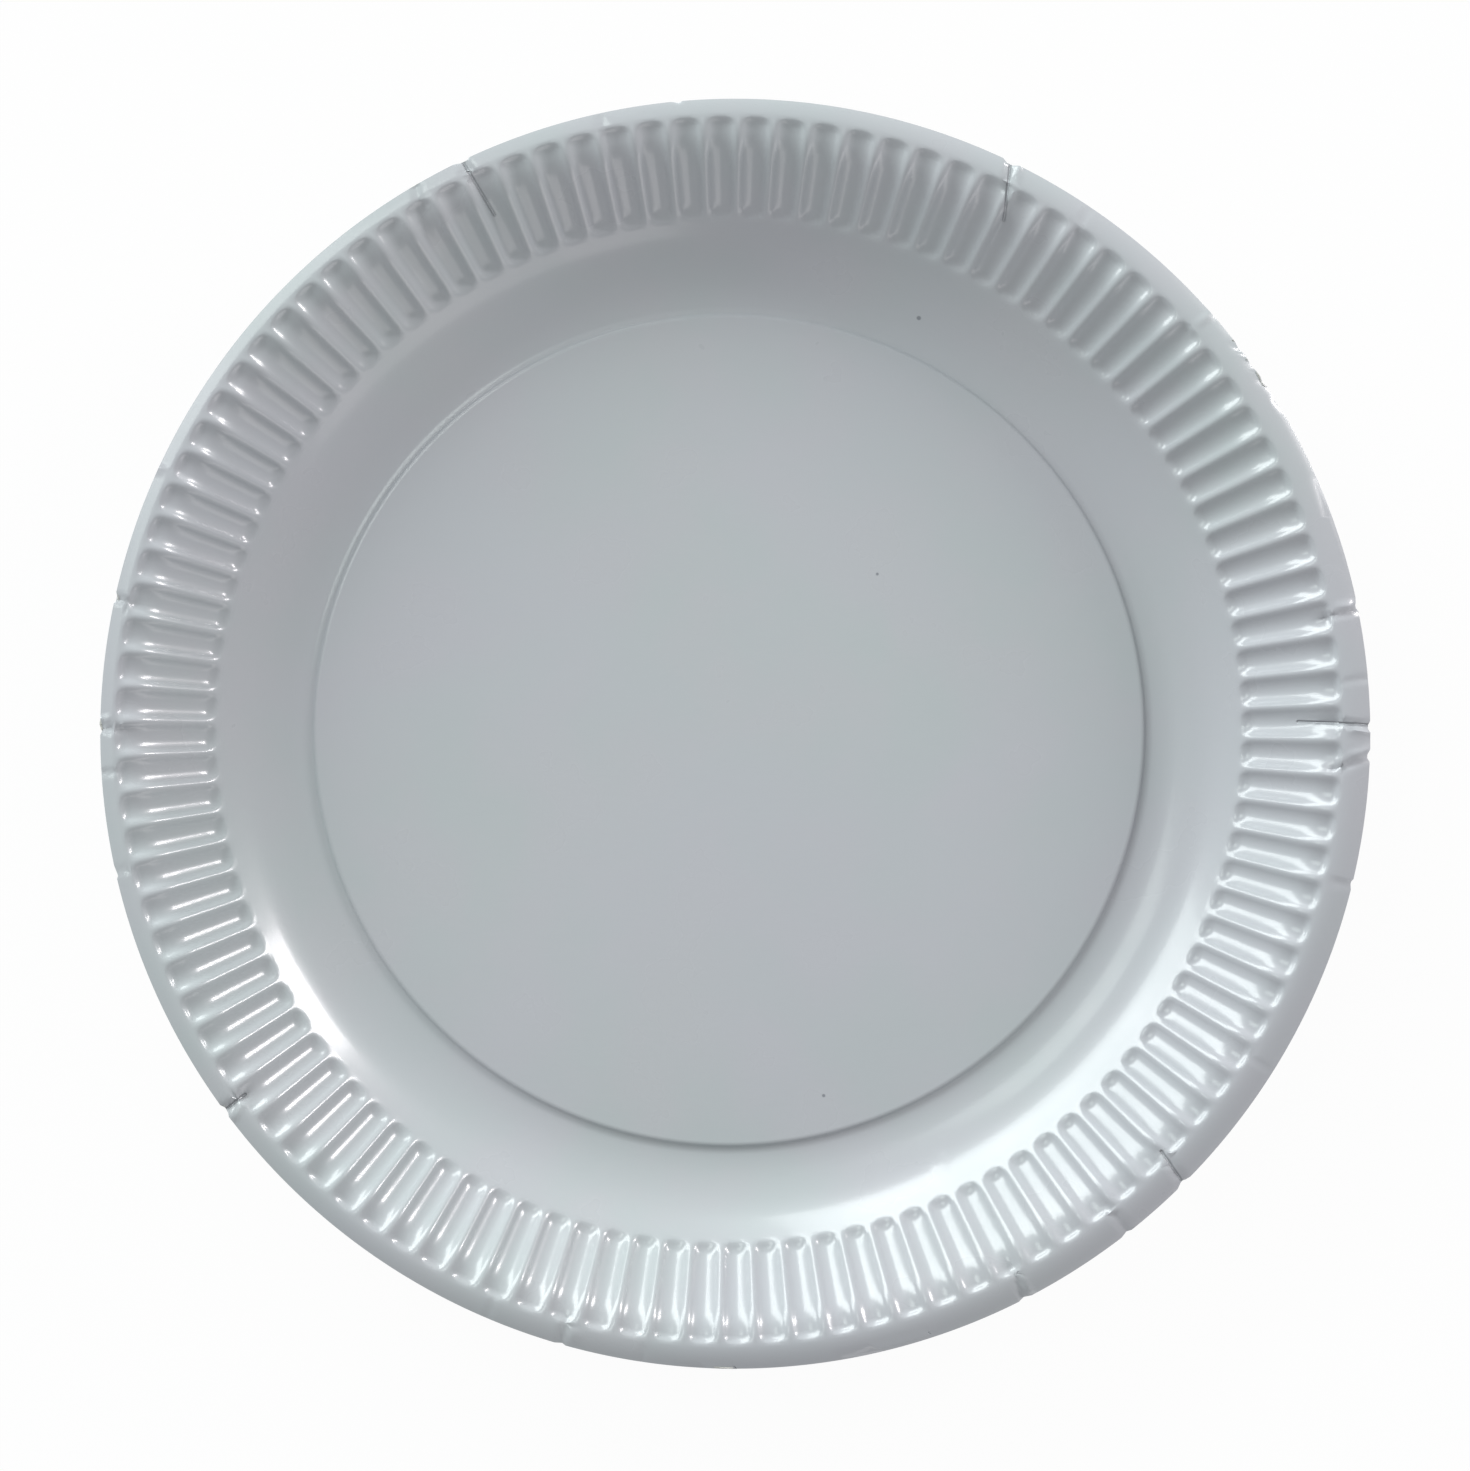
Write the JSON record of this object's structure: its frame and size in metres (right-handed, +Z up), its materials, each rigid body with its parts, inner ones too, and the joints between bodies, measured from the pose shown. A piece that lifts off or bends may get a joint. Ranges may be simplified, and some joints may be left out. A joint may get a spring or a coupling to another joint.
{
  "type": "paper plate",
  "caption": "Round shallow plate pressed from coated board, with a raised centre panel, a ring of radial flutes round the sloping wall and a thin turned-down rim; holds a serving of food.",
  "frame": {"origin": "centre of the cut edge's circle in plan, on the plane the plate stands on", "axes": "+Z up out of the plate's well; +X to the right and +Y away, as seen from above"},
  "size_m": [0.23, 0.23, 0.019],
  "materials": {
    "board": "semi-gloss coated paperboard, faint fibre grain"
  },
  "bodies": {
    "root": {"plate": "board"}
  },
  "joints": []
}
